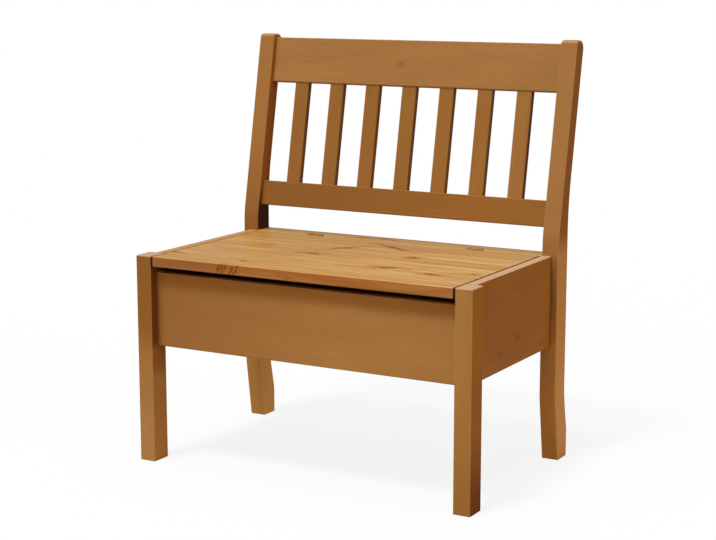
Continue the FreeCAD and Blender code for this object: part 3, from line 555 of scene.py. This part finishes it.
# The sizes of the solids in mm, and how far their edges are eased
PIN_RADIUS = 1.4
BORE_RADIUS = 1.45
BARREL_RADIUS = 3
KNUCKLES = 5
KNUCKLE_GAP = 0.2
LEAF_THICKNESS = 1.5
HALF_LEAF_GAP = 0.25
NECK_BELOW_PIN = 0.6
STEEL_EASE = 0.3
for hand in ("left", "right"):
    pin_low, pin_high = (np.array(corner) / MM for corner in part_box(f"hinge_pin_{hand}"))
    axis = ((pin_low + pin_high) / 2)[1:]
    length = pin_high[0] - pin_low[0]
    pitch = length / KNUCKLES
    width = pitch - KNUCKLE_GAP
    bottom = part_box(f"hinge_rail_leaf_{hand}")[0][2] / MM
    shoulder = axis[1] - BARREL_RADIUS - KNUCKLE_GAP
    neck_top = axis[1] - PIN_RADIUS - NECK_BELOW_PIN
    steel_piece(f"steel_pin_{hand}",
                [(pin_rod(pin_low[0] + length / 2, length, axis, PIN_RADIUS, PIN_RADIUS / 2), False)],
                "bench_frame", f"hinge_pin_{hand}")
    for leaf, body, way, first in (("rail", "bench_frame", 1, 0), ("lid", "lid", -1, 1)):
        inner = axis[0] + way * HALF_LEAF_GAP
        near, far = sorted((inner, inner + way * LEAF_THICKNESS))
        plate = eased_block((pin_low[0], near, bottom), (pin_high[0], far, shoulder), STEEL_EASE)
        surfaces = [(plate, False)]
        for count in range(first, KNUCKLES, 2):
            start = pin_low[0] + count * pitch + KNUCKLE_GAP / 2
            neck = eased_block((start, near, shoulder - LEAF_THICKNESS), (start + width, far, neck_top),
                               STEEL_EASE)
            barrel = knuckle(start, width, axis, BORE_RADIUS, BARREL_RADIUS, STEEL_EASE)
            surfaces += [(neck, False), (barrel, True)]
        steel_piece(f"steel_{leaf}_leaf_{hand}", surfaces, body, f"hinge_{leaf}_leaf_{hand}")

# Wood screws
# Countersunk steel screws with a cross recess, zinc plated: through the strips into the sides, through
# the battens into the lid, and smaller ones through the leaves of the hinges.

TURN_STEPS = 32
THREAD_STEPS = 60
# Shares of the head's radius, and then of the recess's opening
ARM_REACH = 0.5
ARM_HALF_WIDTH = 0.11
RECESS_DEPTH = 0.36
RECESS_WALL = 0.3
RIM = 0.05
RECESS_FLOOR = 0.5
RECESS_POINT = 0.02
# Shares of the screw's length, and then of its shank's radius
NECK_END = 0.35
THREAD_START = 0.36
ROOT_RADIUS = 0.7
POINT_LENGTH = 2.5
BLUNT_END = 0.08


def wood_screw(head, towards, length, head_radius, head_depth, shank_radius):
    """A screw as rings along its axis: a cross recess in a flat head, a cone, a plain neck, and a thread
    whose crest climbs one pitch a turn and tapers to the point. At an angle from the nearest arm of the
    cross, the recess ends at the arm's half width over the sine of that angle, or at the arm's end."""
    turn = full_turn(TURN_STEPS)
    quarter = np.pi / 2
    aside = np.abs((turn + quarter / 2) % quarter - quarter / 2)
    cross = head_radius * ARM_HALF_WIDTH / np.maximum(np.sin(aside), ARM_HALF_WIDTH / ARM_REACH)
    round_one = np.ones(TURN_STEPS)
    rings = [(RECESS_DEPTH * head_radius, RECESS_POINT * cross),
             (RECESS_WALL * head_radius, RECESS_FLOOR * cross), (0, cross),
             (0, (1 - RIM) * head_radius * round_one), (RIM * head_radius, head_radius * round_one),
             (head_depth, shank_radius * round_one), (NECK_END * length, shank_radius * round_one)]
    pitch = shank_radius
    threaded = np.linspace(THREAD_START * length, length, THREAD_STEPS)
    climb = (threaded[:, None] / pitch - turn / 2 / np.pi) % 1
    taper = np.clip((length - threaded) / (POINT_LENGTH * shank_radius) + BLUNT_END, 0, 1)
    crest_height = (1 - ROOT_RADIUS) * (1 - np.abs(2 * climb - 1))
    thread = shank_radius * (ROOT_RADIUS + crest_height) * taper[:, None]
    along = np.concatenate([[place for place, _ in rings], threaded])
    radius = np.concatenate([np.array([ring for _, ring in rings]), thread])
    spun = turn + chance.uniform(0, np.pi)
    towards = Vector(towards)
    across = towards.orthogonal().normalized()
    up = towards.cross(across)
    grid = np.array(head) + along[:, None, None] * np.array(towards)
    return grid + radius[..., None] * (np.cos(spun)[:, None] * np.array(across)
                                       + np.sin(spun)[:, None] * np.array(up))


SOLID_HEAD_SIDES = 8


def screw_rows(node, head_radius):
    """The node's low and high corner in mm, and both drawn in across the screws to their middle lines.
    The solids' heads are polygons, and their flats lie at the radius times the cosine of half a side's
    angle from the middle."""
    low, high = (np.array(corner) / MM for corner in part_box(node))
    drawn = head_radius * math.cos(math.pi / SOLID_HEAD_SIDES)
    return low, high, low + drawn, high - drawn


STRIP_SCREW = {"length": 35, "head_radius": 4, "head_depth": 2.4, "shank_radius": 2}
BATTEN_SCREW = dict(STRIP_SCREW, length=28)
HINGE_SCREW = {"length": 16, "head_radius": 2.7, "head_depth": 1.3, "shank_radius": 1.5}
SCREWS_IN_A_ROW = 3
HINGE_SCREW_SPACING = 13

low, high, first, last = screw_rows("strip_screws", STRIP_SCREW["head_radius"])
steel_piece("screws_through_strips", [
    (wood_screw((way * (high[0] - STRIP_SCREW["length"]), y, z), (way, 0, 0), **STRIP_SCREW), False)
    for way in (-1, 1) for y in np.linspace(first[1], last[1], SCREWS_IN_A_ROW)
    for z in (first[2], last[2])], "bench_frame", "strip_screws")

low, high, first, last = screw_rows("batten_screws", BATTEN_SCREW["head_radius"])
steel_piece("screws_through_battens", [
    (wood_screw((x, y, low[2]), (0, 0, 1), **BATTEN_SCREW), False)
    for x in (first[0], last[0]) for y in np.linspace(first[1], last[1], SCREWS_IN_A_ROW)],
    "lid", "batten_screws")

for leaf, body, way in (("rail", "bench_frame", 1), ("lid", "lid", -1)):
    low, high, first, last = screw_rows(f"hinge_{leaf}_screws", HINGE_SCREW["head_radius"])
    face = low[1] if way > 0 else high[1]
    steel_piece(f"screws_of_{leaf}_leaves", [
        (wood_screw((outer - inward * count * HINGE_SCREW_SPACING, face, (first[2] + last[2]) / 2),
                    (0, way, 0), **HINGE_SCREW), False)
        for outer, inward in ((first[0], -1), (last[0], 1)) for count in range(SCREWS_IN_A_ROW)],
        body, f"hinge_{leaf}_screws")

# Studio
# A white floor, a steep key lamp in front, broad soft lamps overhead and in front to the left, and a weak
# one to the right. The camera sees the floor white with a faint shadow, and it throws some light up.

# In metres
FLOOR_REACH = 14
FLOOR_WHITE = 0.86
GLOW_SHARE = 0.85
# The light that the floor throws up is that of a grey, paler near the bench than far from it, in metres
NEAR_BENCH, FAR_FROM_BENCH = 0.6, 1.7
PALE_NEAR, DARK_FAR = 0.45, 0.12
corners = [(x * FLOOR_REACH, y * FLOOR_REACH, 0) for x, y in ((-1, -1), (1, -1), (1, 1), (-1, 1))]
floor_mesh = bpy.data.meshes.new("floor")
floor_mesh.from_pydata(corners, [], [(0, 1, 2, 3)])
floor = bpy.data.objects.new("floor", floor_mesh)
bpy.context.scene.collection.objects.link(floor)
paper = bpy.data.materials.new("white_floor")
tree = bare_tree(paper)
seen = add(tree, "ShaderNodeLightPath", {}).outputs["Is Camera Ray"]
place = add(tree, "ShaderNodeTexCoord", {}).outputs["Object"]
reach = add(tree, "ShaderNodeVectorMath", {0: place}, operation="LENGTH").outputs["Value"]
bounce = add(tree, "ShaderNodeMapRange", {"Value": reach, "From Min": NEAR_BENCH,
                                          "From Max": FAR_FROM_BENCH, "To Min": PALE_NEAR,
                                          "To Max": DARK_FAR}).outputs[0]
tint = add(tree, "ShaderNodeMapRange", {"Value": seen, "To Min": bounce, "To Max": FLOOR_WHITE}).outputs[0]
matt = add(tree, "ShaderNodeBsdfDiffuse", {"Color": tint}).outputs[0]
glow = add(tree, "ShaderNodeEmission", {"Color": (1, 1, 1, 1), "Strength": 1}).outputs[0]
share = add(tree, "ShaderNodeMath", {0: seen, 1: GLOW_SHARE}, operation="MULTIPLY").outputs[0]
mixed = add(tree, "ShaderNodeMixShader", {0: share, 1: matt, 2: glow})
add(tree, "ShaderNodeOutputMaterial", {"Surface": mixed.outputs[0]})
floor_mesh.materials.append(paper)

# The world is white to the camera and through glass, a weak fill to everything, and faint in reflections
FILL = 0.16
SHEEN = 0.15
world = bpy.data.worlds.new("studio")
bpy.context.scene.world = world
tree = bare_tree(world)
ray = add(tree, "ShaderNodeLightPath", {}).outputs
seen = add(tree, "ShaderNodeMath", {0: ray["Is Camera Ray"], 1: ray["Is Transmission Ray"]},
           operation="MAXIMUM").outputs[0]
seen = add(tree, "ShaderNodeMath", {0: ray["Is Glossy Ray"], 1: SHEEN, 2: seen},
           operation="MULTIPLY_ADD").outputs[0]
level = add(tree, "ShaderNodeMapRange", {"Value": seen, "To Min": FILL, "To Max": 1}).outputs[0]
sky = add(tree, "ShaderNodeBackground", {"Color": (1, 1, 1, 1), "Strength": level}).outputs[0]
add(tree, "ShaderNodeOutputWorld", {"Surface": sky})


def soft_sun(name, towards, level, spread):
    """A distant soft lamp: towards is the way to it, and level is how light a white sheet looks that faces
    it, which takes a strength of pi for level 1; spread is its width in degrees"""
    lamp = bpy.data.lights.new(name, "SUN")
    lamp.angle = math.radians(spread)
    lamp.energy = level * math.pi
    holder = bpy.data.objects.new(name, lamp)
    holder.rotation_euler = Vector(towards).to_track_quat("Z", "Y").to_euler()
    bpy.context.scene.collection.objects.link(holder)


soft_sun("lamp_key", towards=(-0.12, -0.39, 0.91), level=0.55, spread=12)
soft_sun("lamp_overhead", towards=(-0.05, 0.05, 1), level=0.3, spread=60)
soft_sun("lamp_front_left", towards=(-0.35, -0.9, 0.3), level=0.45, spread=70)
soft_sun("lamp_right", towards=(1, -0.1, 0.25), level=0.22, spread=30)

# Camera
# As far back as in the photograph, above the seat and to its right, with a long lens. Its place was
# fitted to the edges of the bench there.

STANDPOINT = Vector((1.7393, -3.0833, 1.0574))
AIM = Vector((0, -0.0071, 0.4165))
lens = bpy.data.cameras.new("camera")
lens.lens = 83.23
lens.sensor_width = 36
camera = bpy.data.objects.new("camera", lens)
camera.location = STANDPOINT
camera.rotation_euler = (AIM - STANDPOINT).to_track_quat("-Z", "Y").to_euler()
bpy.context.scene.collection.objects.link(camera)
bpy.context.scene.camera = camera
bpy.context.scene.view_settings.view_transform = "Standard"
